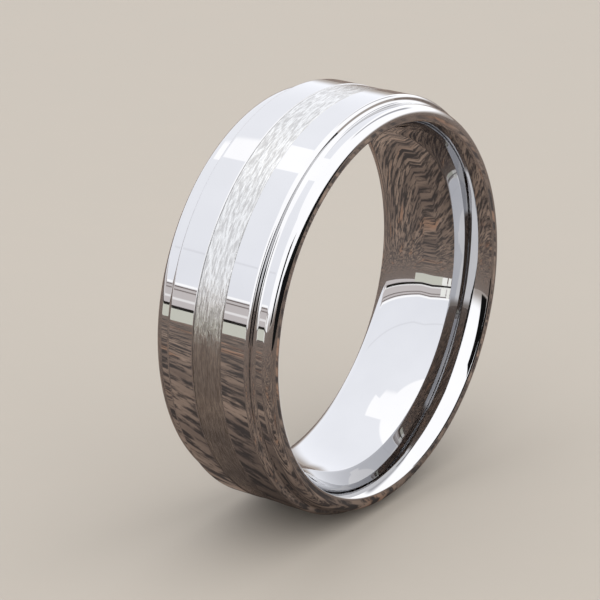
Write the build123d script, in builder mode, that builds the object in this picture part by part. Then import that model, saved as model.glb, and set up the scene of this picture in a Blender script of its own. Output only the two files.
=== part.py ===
"""Stepped wedding band with a brushed centre inlay.

The band's axis is the Y axis and the origin is the centre of the finger hole, so the band
stands on its rim with +Z up. Every piece is a ring turned about that axis from a profile
whose X is a radius and whose Y is a place along the finger.
"""

import os

from build123d import *

# Ring size and width
BORE_RADIUS = 10.3  # US ring size 11: 20.6 mm inside diameter
HALF_WIDTH = 4.0  # the band is 8 mm wide

# Outside: a raised land, a steep step down to a ledge on each side, then a rounded edge.
# The step is polished soft, with the same round at its head as in the cove at its foot
LAND_RADIUS = 12.45
LAND_HALF_WIDTH = 2.75
LEDGE_RADIUS = 12.0
LEDGE_INNER_HALF_WIDTH = 2.87
STEP_ROUND = 0.24
LEDGE_EDGE_ROUND = 0.55

# Inside, a comfort fit: a short straight bore, a long crown and a tighter roll at each mouth
BORE_HALF_LENGTH = 0.4
CROWN_END_RADIUS = 10.7
CROWN_HALF_LENGTH = 3.17
MOUTH_RADIUS = 11.15
MOUTH_EDGE_ROUND = 0.2

# Channel in the middle of the land, with its inlay and the adhesive under it
CHANNEL_HALF_WIDTH = 0.95
CHANNEL_DEPTH = 0.6
CHANNEL_EDGE_ROUND = 0.07
BOND_THICKNESS = 0.06
INLAY_RECESS = 0.03
INLAY_EDGE_CHAMFER = 0.04

CHANNEL_FLOOR_RADIUS = LAND_RADIUS - CHANNEL_DEPTH
INLAY_INNER_RADIUS = CHANNEL_FLOOR_RADIUS + BOND_THICKNESS
INLAY_OUTER_RADIUS = LAND_RADIUS - INLAY_RECESS

# The half-plane the sections are drawn in. It is turned off the X axis, so that the rings'
# start lines, which a mesh counts its flats from, leave a flat and not a corner to stand on
SECTION_TURN = 11.25
section_plane = Plane.XY.rotated((0, SECTION_TURN, 0))


def corners(section, radius, height):
    """The section's corners at one radius, at this height on both sides of the middle."""
    tolerance = 1e-4
    return section.vertices().filter_by(
        lambda corner: abs(corner.X - radius) < tolerance
        and abs(abs(corner.Y) - height) < tolerance
    )


def ring_profile(inner_radius, outer_radius, half_width):
    """A rectangular section, placed at its radius from the band's axis."""
    with Locations(((inner_radius + outer_radius) / 2, 0)):
        Rectangle(outer_radius - inner_radius, 2 * half_width)


# The metal band: half of its section is drawn from the bore round to the channel, then mirrored
with BuildPart() as band_body:
    with BuildSketch(section_plane) as body_section:
        with BuildLine():
            bore = Line((BORE_RADIUS, 0), (BORE_RADIUS, BORE_HALF_LENGTH))
            crown = TangentArc(bore @ 1, (CROWN_END_RADIUS, CROWN_HALF_LENGTH), tangent=bore % 1)
            roll = TangentArc(crown @ 1, (MOUTH_RADIUS, HALF_WIDTH), tangent=crown % 1)
            outside = Polyline(
                roll @ 1,
                (LEDGE_RADIUS, HALF_WIDTH),
                (LEDGE_RADIUS, LEDGE_INNER_HALF_WIDTH),
                (LAND_RADIUS, LAND_HALF_WIDTH),
                (LAND_RADIUS, CHANNEL_HALF_WIDTH),
                (CHANNEL_FLOOR_RADIUS, CHANNEL_HALF_WIDTH),
                (CHANNEL_FLOOR_RADIUS, 0),
            )
            mirror(about=Plane.XZ)
        make_face()
        fillet(corners(body_section, LAND_RADIUS, LAND_HALF_WIDTH), STEP_ROUND)
        fillet(corners(body_section, LEDGE_RADIUS, LEDGE_INNER_HALF_WIDTH), STEP_ROUND)
        fillet(corners(body_section, LEDGE_RADIUS, HALF_WIDTH), LEDGE_EDGE_ROUND)
        fillet(corners(body_section, LAND_RADIUS, CHANNEL_HALF_WIDTH), CHANNEL_EDGE_ROUND)
        fillet(corners(body_section, MOUTH_RADIUS, HALF_WIDTH), MOUTH_EDGE_ROUND)
    revolve(axis=Axis.Y)

# The cured adhesive on the channel floor, hidden by the inlay
with BuildPart() as inlay_bond:
    with BuildSketch(section_plane):
        ring_profile(CHANNEL_FLOOR_RADIUS, INLAY_INNER_RADIUS, CHANNEL_HALF_WIDTH)
    revolve(axis=Axis.Y)

# The brushed inlay, which fills the channel almost to the top with its edges broken
with BuildPart() as center_inlay:
    with BuildSketch(section_plane) as inlay_section:
        ring_profile(INLAY_INNER_RADIUS, INLAY_OUTER_RADIUS, CHANNEL_HALF_WIDTH)
        chamfer(
            corners(inlay_section, INLAY_OUTER_RADIUS, CHANNEL_HALF_WIDTH), INLAY_EDGE_CHAMFER
        )
    revolve(axis=Axis.Y)

os.makedirs("parts", exist_ok=True)

band_body.part.label = "band_body"
inlay_bond.part.label = "inlay_bond"
center_inlay.part.label = "center_inlay"

export_step(band_body.part, "parts/band_body.step")
export_step(inlay_bond.part, "parts/inlay_bond.step")
export_step(center_inlay.part, "parts/center_inlay.step")
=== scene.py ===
import math

import bpy
from mathutils import Matrix, Vector


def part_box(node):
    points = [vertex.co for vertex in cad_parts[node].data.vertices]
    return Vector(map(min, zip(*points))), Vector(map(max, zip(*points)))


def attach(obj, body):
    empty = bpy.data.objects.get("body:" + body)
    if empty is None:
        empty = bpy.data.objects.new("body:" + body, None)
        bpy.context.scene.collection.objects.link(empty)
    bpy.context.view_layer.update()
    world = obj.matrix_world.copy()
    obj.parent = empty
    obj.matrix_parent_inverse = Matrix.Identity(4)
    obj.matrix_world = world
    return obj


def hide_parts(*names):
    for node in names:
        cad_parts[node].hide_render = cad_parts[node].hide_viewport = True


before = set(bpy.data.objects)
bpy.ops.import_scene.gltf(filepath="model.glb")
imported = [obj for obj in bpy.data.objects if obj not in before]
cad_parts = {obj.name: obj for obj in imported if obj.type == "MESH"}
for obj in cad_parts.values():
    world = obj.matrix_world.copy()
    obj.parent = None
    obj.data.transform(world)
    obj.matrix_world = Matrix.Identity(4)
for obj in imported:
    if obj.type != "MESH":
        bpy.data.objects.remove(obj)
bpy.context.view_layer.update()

# A stepped wedding band that stands on its rim. Its axis is Y, and the origin is the middle of
# the finger hole. Each CAD ring is replaced by a finer one turned from the same section.

MM = 0.001


# ---------------------------------------------------------------- dimensions, from the frame
def radii(node):
    """The least and the greatest distance of a CAD node's corners from the band's axis."""
    reach = [math.hypot(v.co.x, v.co.z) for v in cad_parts[node].data.vertices]
    return min(reach), max(reach)


BORE_R, LAND_R = radii("band_body")
CHANNEL_FLOOR_R, BOND_R = radii("inlay_bond")
INLAY_R = radii("center_inlay")[1]
HALF_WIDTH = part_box("band_body")[1].y
INLAY_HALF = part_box("center_inlay")[1].y

# the rest of the section, as the CAD has it
LAND_HALF = 2.75 * MM
LEDGE_R = 12.0 * MM
LEDGE_INNER_HALF = 2.87 * MM
STEP_ROUND = 0.24 * MM
LEDGE_ROUND = 0.55 * MM
BORE_HALF = 0.4 * MM
CROWN_R = 10.7 * MM
CROWN_HALF = 3.17 * MM
MOUTH_R = 11.15 * MM
MOUTH_ROUND = 0.2 * MM
CHANNEL_ROUND = 0.07 * MM
INLAY_CHAMFER = 0.04 * MM

# how finely the rings are divided: pieces round a whole ring, and degrees along each round
RING_PARTS, BOND_PARTS = 540, 180
CROWN_STEP, ROLL_STEP, MOUTH_STEP = 1.5, 3.0, 12.0
LEDGE_STEP, CHANNEL_STEP = 6.0, 22.5


# ---------------------------------------------------------------- sections of the rings
# A section is a list of runs, and a run a list of (radius, y, normal radius, normal y). Runs
# that meet at an angle leave a crisp edge there; their own normals keep every face exact.
def line(a, b, parts=1):
    """A straight run from a to b, with its normal on the left of the travel."""
    dr, dy = b[0] - a[0], b[1] - a[1]
    size = math.hypot(dr, dy)
    n = (-dy / size, dr / size)
    return [
        (a[0] + dr * k / parts, a[1] + dy * k / parts, n[0], n[1]) for k in range(parts + 1)
    ]


def arc(centre, radius, start, end, step):
    """A round run between two directions in degrees, with its normals away from the centre."""
    parts = max(2, math.ceil(abs(end - start) / step))
    run = []
    for k in range(parts + 1):
        t = math.radians(start + (end - start) * k / parts)
        c, s = math.cos(t), math.sin(t)
        run.append((centre[0] + radius * c, centre[1] + radius * s, c, s))
    return run


def hollow(run):
    """The same round run seen from inside, as a cove."""
    return [(r, y, -nr, -ny) for r, y, nr, ny in run]


def heading(centre, point):
    """The direction in degrees from a centre to a point."""
    return math.degrees(math.atan2(point[1] - centre[1], point[0] - centre[0]))


def side_rounding(centre, radius, ball, near):
    """Where a ball rolls in the corner between the side face and a circle that holds the metal:
    the ball's centre, its point on the face and its point on the circle."""
    y = HALF_WIDTH - ball
    off = math.sqrt((radius - ball) ** 2 - (y - centre[1]) ** 2)
    x = min((centre[0] - off, centre[0] + off), key=lambda v: abs(v - near))
    scale = radius / (radius - ball)
    touch = (centre[0] + (x - centre[0]) * scale, centre[1] + (y - centre[1]) * scale)
    return (x, y), (x, HALF_WIDTH), touch


def tangent_arc(start, end, lean):
    """The circle that leaves start leaning by an angle from the band's axis and meets end:
    its centre, its radius and the lean where it arrives."""
    dr, dy = end[0] - start[0], end[1] - start[1]
    swing = 2 * (math.atan2(dr, dy) - lean)
    radius = math.hypot(dr, dy) / (2 * math.sin(swing / 2))
    centre = (start[0] + radius * math.cos(lean), start[1] - radius * math.sin(lean))
    return centre, radius, lean + swing


def inside_runs():
    """Half of the finger hole: a straight bore, a crown that leaves it level, and a roll that
    follows the crown without a crease and is rounded off into the side face."""
    crown_c, crown_r, lean = tangent_arc((BORE_R, BORE_HALF), (CROWN_R, CROWN_HALF), 0.0)
    roll_c, roll_r, _ = tangent_arc((CROWN_R, CROWN_HALF), (MOUTH_R, HALF_WIDTH), lean)
    mouth_c, mouth_top, mouth_low = side_rounding(roll_c, roll_r, MOUTH_ROUND, MOUTH_R)
    crown_end = 180.0 - math.degrees(lean)
    runs = [
        line((BORE_R, 0.0), (BORE_R, BORE_HALF)),
        arc(crown_c, crown_r, 180.0, crown_end, CROWN_STEP),
        arc(roll_c, roll_r, crown_end, heading(roll_c, mouth_low), ROLL_STEP),
        arc(mouth_c, MOUTH_ROUND, heading(mouth_c, mouth_low), 90.0, MOUTH_STEP),
    ]
    return runs, mouth_top


def band_section():
    """The band's section, from the middle of the bore round to the middle of the channel."""
    inside, mouth_top = inside_runs()
    # the step's slope in degrees from the band's axis, and how far its rounds reach
    tilt = math.degrees(math.atan2(LAND_R - LEDGE_R, LEDGE_INNER_HALF - LAND_HALF))
    reach = STEP_ROUND * math.tan(math.radians(tilt / 2))
    ledge_c = (LEDGE_R - LEDGE_ROUND, HALF_WIDTH - LEDGE_ROUND)
    cove_c = (LEDGE_R + STEP_ROUND, LEDGE_INNER_HALF + reach)
    head_c = (LAND_R - STEP_ROUND, LAND_HALF - reach)
    lip_c = (LAND_R - CHANNEL_ROUND, INLAY_HALF + CHANNEL_ROUND)
    cove = hollow(arc(cove_c, STEP_ROUND, 180.0, 180.0 + tilt, LEDGE_STEP))
    head = arc(head_c, STEP_ROUND, tilt, 0.0, LEDGE_STEP)
    return inside + [
        line(mouth_top, (ledge_c[0], HALF_WIDTH)),
        arc(ledge_c, LEDGE_ROUND, 90.0, 0.0, LEDGE_STEP),
        line((LEDGE_R, ledge_c[1]), (LEDGE_R, cove_c[1])),
        cove,
        line(cove[-1][:2], head[0][:2]),
        head,
        line((LAND_R, head_c[1]), (LAND_R, lip_c[1])),
        arc(lip_c, CHANNEL_ROUND, 0.0, -90.0, CHANNEL_STEP),
        line((lip_c[0], INLAY_HALF), (CHANNEL_FLOOR_R, INLAY_HALF)),
        line((CHANNEL_FLOOR_R, INLAY_HALF), (CHANNEL_FLOOR_R, 0.0)),
    ]


def inlay_section():
    """The inlay's section, from the middle of its back round to the middle of its face."""
    cut = INLAY_CHAMFER
    return [
        line((BOND_R, 0.0), (BOND_R, INLAY_HALF), parts=2),
        line((BOND_R, INLAY_HALF), (INLAY_R - cut, INLAY_HALF)),
        line((INLAY_R - cut, INLAY_HALF), (INLAY_R, INLAY_HALF - cut)),
        line((INLAY_R, INLAY_HALF - cut), (INLAY_R, 0.0), parts=6),
    ]


def bond_section():
    """The adhesive film's section, in the same order."""
    return [
        line((CHANNEL_FLOOR_R, 0.0), (CHANNEL_FLOOR_R, INLAY_HALF), parts=2),
        line((CHANNEL_FLOOR_R, INLAY_HALF), (BOND_R, INLAY_HALF)),
        line((BOND_R, INLAY_HALF), (BOND_R, 0.0), parts=2),
    ]


def whole(half):
    """A closed section from its half at y > 0, mirrored about the middle."""
    other = [[(r, -y, nr, -ny) for r, y, nr, ny in reversed(run)] for run in reversed(half)]
    return half + other


def lathe(name, half, parts):
    """A closed ring turned about the Y axis, with the section's own normals on every corner."""
    points, spans = [], []
    for run in whole(half):
        for k in range(len(run) - 1):
            spans.append((len(points), run[k][2:], run[k + 1][2:]))
            points.append(run[k][:2])
    count = len(points)
    verts, turn = [], []
    for j in range(parts):
        t = 2 * math.pi * j / parts
        turn.append((math.cos(t), math.sin(t)))
        verts += [(r * turn[j][0], y, r * turn[j][1]) for r, y in points]
    faces, normals = [], []
    for j in range(parts):
        n = (j + 1) % parts
        (c0, s0), (c1, s1) = turn[j], turn[n]
        for a, (nr0, ny0), (nr1, ny1) in spans:
            b = (a + 1) % count
            faces.append((j * count + a, n * count + a, n * count + b, j * count + b))
            normals += [
                (nr0 * c0, ny0, nr0 * s0),
                (nr0 * c1, ny0, nr0 * s1),
                (nr1 * c1, ny1, nr1 * s1),
                (nr1 * c0, ny1, nr1 * s0),
            ]
    mesh = bpy.data.meshes.new(name)
    mesh.from_pydata(verts, [], faces)
    if mesh.polygons[0].normal.dot(Vector(normals[0])) < 0:
        raise ValueError(name + " is inside out")
    mesh.shade_smooth()
    mesh.normals_split_custom_set(normals)
    mesh.update()
    obj = bpy.data.objects.new(name, mesh)
    bpy.context.scene.collection.objects.link(obj)
    return obj


# ---------------------------------------------------------------- node helpers
def wire(tree, value, socket):
    """Feed a socket from another node's output, or set it to a plain value."""
    if isinstance(value, bpy.types.NodeSocket):
        tree.links.new(value, socket)
    else:
        socket.default_value = value


def math_node(tree, operation, *values):
    """A Math node on one, two or three values."""
    node = tree.nodes.new("ShaderNodeMath")
    node.operation = operation
    for value, socket in zip(values, node.inputs):
        wire(tree, value, socket)
    return node.outputs["Value"]


def remap(tree, value, span, result, smooth=False):
    """A Map Range node from one span of values to another, clamped at the ends."""
    node = tree.nodes.new("ShaderNodeMapRange")
    node.interpolation_type = "SMOOTHSTEP" if smooth else "LINEAR"
    wire(tree, value, node.inputs["Value"])
    node.inputs["From Min"].default_value, node.inputs["From Max"].default_value = span
    node.inputs["To Min"].default_value, node.inputs["To Max"].default_value = result
    return node.outputs["Result"]


def blend(tree, amount, below, above):
    """A colour Mix node: below where amount is 0 and above where it is 1."""
    node = tree.nodes.new("ShaderNodeMix")
    node.data_type = "RGBA"
    wire(tree, amount, node.inputs[0])
    for value, socket in ((below, node.inputs[6]), (above, node.inputs[7])):
        wire(tree, value if isinstance(value, bpy.types.NodeSocket) else (*value, 1.0), socket)
    return node.outputs[2]


def noise(tree, scale, detail=2.0, roughness=0.5):
    """Noise in object coordinates with one scale per axis, in patches per metre."""
    place = tree.nodes.new("ShaderNodeTexCoord")
    mapping = tree.nodes.new("ShaderNodeMapping")
    mapping.inputs["Scale"].default_value = scale
    cloud = tree.nodes.new("ShaderNodeTexNoise")
    cloud.inputs["Scale"].default_value = 1.0
    cloud.inputs["Detail"].default_value = detail
    cloud.inputs["Roughness"].default_value = roughness
    tree.links.new(place.outputs["Object"], mapping.inputs["Vector"])
    tree.links.new(mapping.outputs["Vector"], cloud.inputs["Vector"])
    return cloud.outputs["Fac"]


def principled(name):
    """A new material, its node tree and its Principled shader's inputs."""
    mat = bpy.data.materials.new(name)
    mat.use_nodes = True
    return mat, mat.node_tree, mat.node_tree.nodes["Principled BSDF"].inputs


def bump(tree, height, depth):
    """The normal of a surface raised by a height of 0 to 1, worth so many metres."""
    node = tree.nodes.new("ShaderNodeBump")
    node.inputs["Strength"].default_value = 1.0
    node.inputs["Distance"].default_value = depth
    tree.links.new(height, node.inputs["Height"])
    return node.outputs["Normal"]


# ---------------------------------------------------------------- materials of the band
def polished_carbide():
    """Mirror-polished carbide: a faint cloud in the colour, and in the gloss the last haze that
    polishing leaves."""
    mat, tree, shader = principled("polished_carbide")
    cloud = remap(tree, noise(tree, (300.0, 300.0, 300.0)), (0.3, 0.7), (0.0, 1.0))
    haze = noise(tree, (900.0, 2500.0, 900.0), detail=3.0)
    grey = blend(tree, cloud, (0.49, 0.49, 0.50), (0.51, 0.51, 0.52))
    wire(tree, grey, shader["Base Color"])
    wire(tree, remap(tree, haze, (0.35, 0.75), (0.015, 0.04)), shader["Roughness"])
    shader["Metallic"].default_value = 1.0
    return mat


def brushed_inlay():
    """Satin metal: short strokes round the band, some cut deeper and brighter than the rest."""
    mat, tree, shader = principled("brushed_inlay")
    strokes = noise(tree, (1600.0, 8000.0, 1600.0), detail=3.0, roughness=0.6)
    scratches = noise(tree, (800.0, 14000.0, 800.0), detail=1.0)
    tone = remap(tree, strokes, (0.40, 0.60), (0.0, 1.0))
    grey = blend(tree, tone, (0.38, 0.375, 0.37), (0.56, 0.56, 0.555))
    wire(tree, grey, shader["Base Color"])
    wire(tree, remap(tree, scratches, (0.3, 0.7), (0.10, 0.22)), shader["Roughness"])
    shader["Metallic"].default_value = 1.0
    height = math_node(tree, "ADD", strokes, math_node(tree, "MULTIPLY", scratches, 0.4))
    wire(tree, bump(tree, height, 0.03 * MM), shader["Normal"])
    return mat


def cured_adhesive():
    """Cured epoxy, amber and slightly cloudy."""
    mat, tree, shader = principled("cured_adhesive")
    cloud = remap(tree, noise(tree, (1500.0, 1500.0, 1500.0)), (0.3, 0.7), (0.0, 1.0))
    amber = blend(tree, cloud, (0.74, 0.67, 0.49), (0.80, 0.75, 0.60))
    wire(tree, amber, shader["Base Color"])
    wire(tree, remap(tree, cloud, (0.0, 1.0), (0.3, 0.45)), shader["Roughness"])
    return mat


# ---------------------------------------------------------------- the band's three pieces
def stand_for(node, piece, material):
    """Let a ring ride on the band's one body in place of a CAD node, in its own material."""
    piece.data.materials.append(material)
    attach(piece, "root")
    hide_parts(node)


band = lathe("polished_band", band_section(), RING_PARTS)
inlay = lathe("brushed_stripe", inlay_section(), RING_PARTS)
bond = lathe("adhesive_film", bond_section(), BOND_PARTS)
stand_for("band_body", band, polished_carbide())
stand_for("center_inlay", inlay, brushed_inlay())
stand_for("inlay_bond", bond, cured_adhesive())


# ---------------------------------------------------------------- floor and backdrop
def staged(name, verts, faces, material):
    """A mesh that is part of the studio and not of the band."""
    mesh = bpy.data.meshes.new(name)
    mesh.from_pydata(verts, [], faces)
    mesh.materials.append(material)
    obj = bpy.data.objects.new(name, mesh)
    bpy.context.scene.collection.objects.link(obj)
    return obj


def only_seen_by(obj, camera=False, glossy=False):
    """Leave a studio piece visible to the camera alone, or to reflections alone."""
    obj.visible_camera, obj.visible_glossy = camera, glossy
    obj.visible_diffuse = obj.visible_transmission = obj.visible_volume_scatter = False
    obj.visible_shadow = False


FLOOR_Z = -LAND_R
FLOOR_HALF = 2.0
WALL_R, WALL_TOP, WALL_SIDES = 1.4, 1.4, 96

SQUARE = [(x * FLOOR_HALF, y * FLOOR_HALF) for x, y in ((-1, -1), (1, -1), (1, 1), (-1, 1))]

# the floor is seen by the camera and catches the shadow, but the metal doesn't mirror it
paint, tree, shader = principled("floor_paint")
shader["Base Color"].default_value = (0.36, 0.325, 0.28, 1.0)
shader["Roughness"].default_value = 0.8
floor = staged("floor", [(x, y, FLOOR_Z) for x, y in SQUARE], [(0, 1, 2, 3)], paint)
floor.visible_glossy = False

# a plain round wall behind the floor, for low views
rim = [2 * math.pi * k / WALL_SIDES for k in range(WALL_SIDES)]
foot = [(WALL_R * math.cos(t), WALL_R * math.sin(t), FLOOR_Z) for t in rim]
head = [(x, y, WALL_TOP) for x, y, z in foot]
sides = []
for k in range(WALL_SIDES):
    n = (k + 1) % WALL_SIDES
    sides.append((k, n, WALL_SIDES + n, WALL_SIDES + k))
wall = staged("backdrop", foot + head, sides, paint)
only_seen_by(wall, camera=True)


# ---------------------------------------------------------------- what the metal mirrors
# A timber board just clear of the floor, so that polished metal mirrors warm brown grain below
# the horizon. The grain runs along the board's x axis, and the board is turned to lay it so.
BOARD_TURN = math.radians(-54.0)
BOARD_GAP = 0.02 * MM


def board_timber():
    """Brown timber with a broad figure, rusty patches and dark grain lines."""
    mat, tree, shader = principled("board_timber")
    grain = noise(tree, (200.0, 1100.0, 1.0), detail=6.0, roughness=0.7)
    figure = noise(tree, (60.0, 260.0, 1.0), detail=3.0)
    rust = noise(tree, (60.0, 200.0, 7.0))
    broad = remap(tree, figure, (0.35, 0.65), (0.0, 1.0))
    browns = blend(tree, broad, (0.12, 0.083, 0.062), (0.30, 0.212, 0.155))
    patches = remap(tree, rust, (0.56, 0.70), (0.0, 0.7), smooth=True)
    browns = blend(tree, patches, browns, (0.34, 0.17, 0.09))
    lines = remap(tree, grain, (0.44, 0.55), (1.0, 0.0), smooth=True)
    wire(tree, blend(tree, lines, browns, (0.035, 0.025, 0.02)), shader["Base Color"])
    shader["Roughness"].default_value = 0.9
    return mat


board = staged("timber_board", [(x, y, 0.0) for x, y in SQUARE], [(0, 1, 2, 3)], board_timber())
board.location.z = FLOOR_Z + BOARD_GAP
board.rotation_euler.z = BOARD_TURN
only_seen_by(board, glossy=True)

SKY_POWER = 1.68  # the strength of the sky, and of the cards too, so that their tones compare


def glow(name, colour):
    """A material that is one even tone whatever the light."""
    mat = bpy.data.materials.new(name)
    mat.use_nodes = True
    tree = mat.node_tree
    tree.nodes.clear()
    emission = tree.nodes.new("ShaderNodeEmission")
    emission.inputs["Color"].default_value = (*colour, 1.0)
    emission.inputs["Strength"].default_value = SKY_POWER
    output = tree.nodes.new("ShaderNodeOutputMaterial")
    tree.links.new(emission.outputs["Emission"], output.inputs["Surface"])
    return mat


def card(name, colour, compass, levels, distance):
    """A low card that only reflections see, between two compass directions and two heights in
    degrees, as seen from the middle of the band."""
    corners = []
    for side, level in ((0, 0), (1, 0), (1, 1), (0, 1)):
        t = math.radians(compass[side])
        z = distance * math.tan(math.radians(levels[level]))
        corners.append((distance * math.cos(t), distance * math.sin(t), z))
    obj = staged(name, corners, [(0, 1, 2, 3)], glow(name + "_tone", colour))
    only_seen_by(obj, glossy=True)


# a white block, two white posts and a black bar stand where the mirrored board meets the
# horizon, and a low black flag in front draws the dark lines along the stepped edge
HORIZON_DISTANCE, FLAG_DISTANCE = 110 * MM, 60 * MM
CREAM, OFF_WHITE = (0.62, 0.62, 0.54), (0.95, 0.95, 0.90)
SOOT, BLACK = (0.02, 0.018, 0.016), (0.008, 0.008, 0.008)
card("white_block", CREAM, (140.0, 156.0), (-5.2, 0.0), HORIZON_DISTANCE)
card("black_bar", SOOT, (112.0, 166.0), (0.0, 1.1), HORIZON_DISTANCE)
card("white_post", OFF_WHITE, (156.0, 160.5), (-5.0, 7.0), HORIZON_DISTANCE)
card("white_post_2", OFF_WHITE, (161.5, 164.0), (-5.0, 8.0), HORIZON_DISTANCE)
card("low_flag", BLACK, (-118.0, -52.0), (-11.5, 14.0), FLAG_DISTANCE)


# ---------------------------------------------------------------- light
# The light is one big soft sky: white, with a light grey wall panel on the far side of the
# band, a dim horizon and a few plain flags, all fixed in the world.
world = bpy.data.worlds.new("studio")
bpy.context.scene.world = world
world.use_nodes = True
tree = world.node_tree
place = tree.nodes.new("ShaderNodeTexCoord")
split = tree.nodes.new("ShaderNodeSeparateXYZ")
tree.links.new(place.outputs["Generated"], split.inputs["Vector"])
east, north, high = split.outputs["X"], split.outputs["Y"], split.outputs["Z"]
compass = math_node(tree, "DEGREES", math_node(tree, "ARCTAN2", north, east))
level = math_node(tree, "DEGREES", math_node(tree, "ARCSINE", high))


def within(value, middle, half, soft):
    """1 within half of the middle and 0 outside it, with a soft edge."""
    off = math_node(tree, "ABSOLUTE", math_node(tree, "SUBTRACT", value, middle))
    return remap(tree, off, (half - soft / 2, half + soft / 2), (1.0, 0.0), smooth=True)


def panel(below, colour, sides, levels, soft=1.0, lean=0.0):
    """The sky with a panel laid over it, between two compass directions and two heights in
    degrees. A lean slides it sideways by so many degrees per degree of height."""
    middle = (sides[0] + sides[1]) / 2
    rise = (levels[0] + levels[1]) / 2
    slide = math_node(tree, "MULTIPLY", math_node(tree, "SUBTRACT", level, rise), lean)
    off = math_node(tree, "SUBTRACT", math_node(tree, "SUBTRACT", compass, middle), slide)
    around = math_node(tree, "WRAP", off, 180.0, -180.0)
    across = within(around, 0.0, (sides[1] - sides[0]) / 2, soft)
    upward = within(level, rise, (levels[1] - levels[0]) / 2, soft)
    return blend(tree, math_node(tree, "MULTIPLY", across, upward), below, colour)


# a grey wall that brightens upwards, with a white window near its top and a level seam, and a
# dim patch to the right of it
WHITE = (1.17, 1.17, 1.18)
WALL_LOW, WALL_HIGH = (0.89, 0.905, 0.95), (0.955, 0.97, 1.01)
wall_grey = blend(tree, remap(tree, level, (10.0, 56.0), (0.0, 1.0)), WALL_LOW, WALL_HIGH)
sky = panel(WHITE, wall_grey, (27.0, 165.0), (-5.0, 58.0), soft=1.5)
sky = panel(sky, WHITE, (71.0, 96.0), (54.0, 60.0))
sky = panel(sky, (0.82, 0.83, 0.87), (100.0, 165.0), (24.0, 24.8), soft=0.4)
sky = panel(sky, (0.42, 0.42, 0.44), (-8.0, 8.0), (24.0, 66.0), soft=8.0)

# low on the wall's left half, a dim strip with a white line, two dark ones and a pale one
STRIP = (110.0, 170.0)
for tone, heights, soft in (
    ((0.60, 0.56, 0.55), (-6.0, 8.6), 0.5),
    ((1.15, 1.15, 1.15), (8.7, 9.7), 0.4),
    ((0.16, 0.13, 0.12), (7.9, 8.4), 0.3),
    ((0.20, 0.17, 0.16), (6.4, 6.9), 0.3),
    ((0.90, 0.88, 0.87), (2.2, 3.2), 0.4),
):
    sky = panel(sky, tone, STRIP, heights, soft)

# a dim haze at the horizon, for 120 degrees each way from the front, and a leaning black flag
FRONT, FRONT_HALF = -60.0, 120.0
low = remap(tree, level, (1.0, 11.0), (1.0, 0.0), smooth=True)
ahead = math_node(tree, "WRAP", math_node(tree, "ADD", compass, -FRONT), 180.0, -180.0)
haze = math_node(tree, "MULTIPLY", low, within(ahead, 0.0, FRONT_HALF, soft=10.0))
sky = blend(tree, haze, sky, (0.38, 0.34, 0.31))
sky = panel(sky, (0.006, 0.006, 0.006), (-144.0, -126.0), (1.0, 36.0), lean=0.55)
tree.links.new(sky, tree.nodes["Background"].inputs["Color"])
tree.nodes["Background"].inputs["Strength"].default_value = SKY_POWER

# ---------------------------------------------------------------- camera
# The camera is level across. An azimuth of 0 would look along +Y, and the view's centre lies a
# little aside of the band's middle and a little below it.
AZIMUTH, ELEVATION = math.radians(-54.636), math.radians(21.362)
DISTANCE = 154.875 * MM
ASIDE, ABOVE = -2.037 * MM, -0.184 * MM
SENSOR_MM, LENS_MM = 36.0, 158.93
back = Vector(
    (
        math.sin(AZIMUTH) * math.cos(ELEVATION),
        -math.cos(AZIMUTH) * math.cos(ELEVATION),
        math.sin(ELEVATION),
    )
)
right = Vector((0, 0, 1)).cross(back).normalized()
up = back.cross(right)
eye = bpy.data.cameras.new("camera")
camera = bpy.data.objects.new("camera", eye)
bpy.context.scene.collection.objects.link(camera)
camera.location = back * DISTANCE + right * ASIDE + up * ABOVE
camera.rotation_euler = Matrix((right, up, back)).transposed().to_euler()
eye.sensor_width, eye.lens = SENSOR_MM, LENS_MM
eye.clip_start, eye.clip_end = 0.01, 10.0
bpy.context.scene.camera = camera

bpy.context.scene.view_settings.view_transform = "Standard"
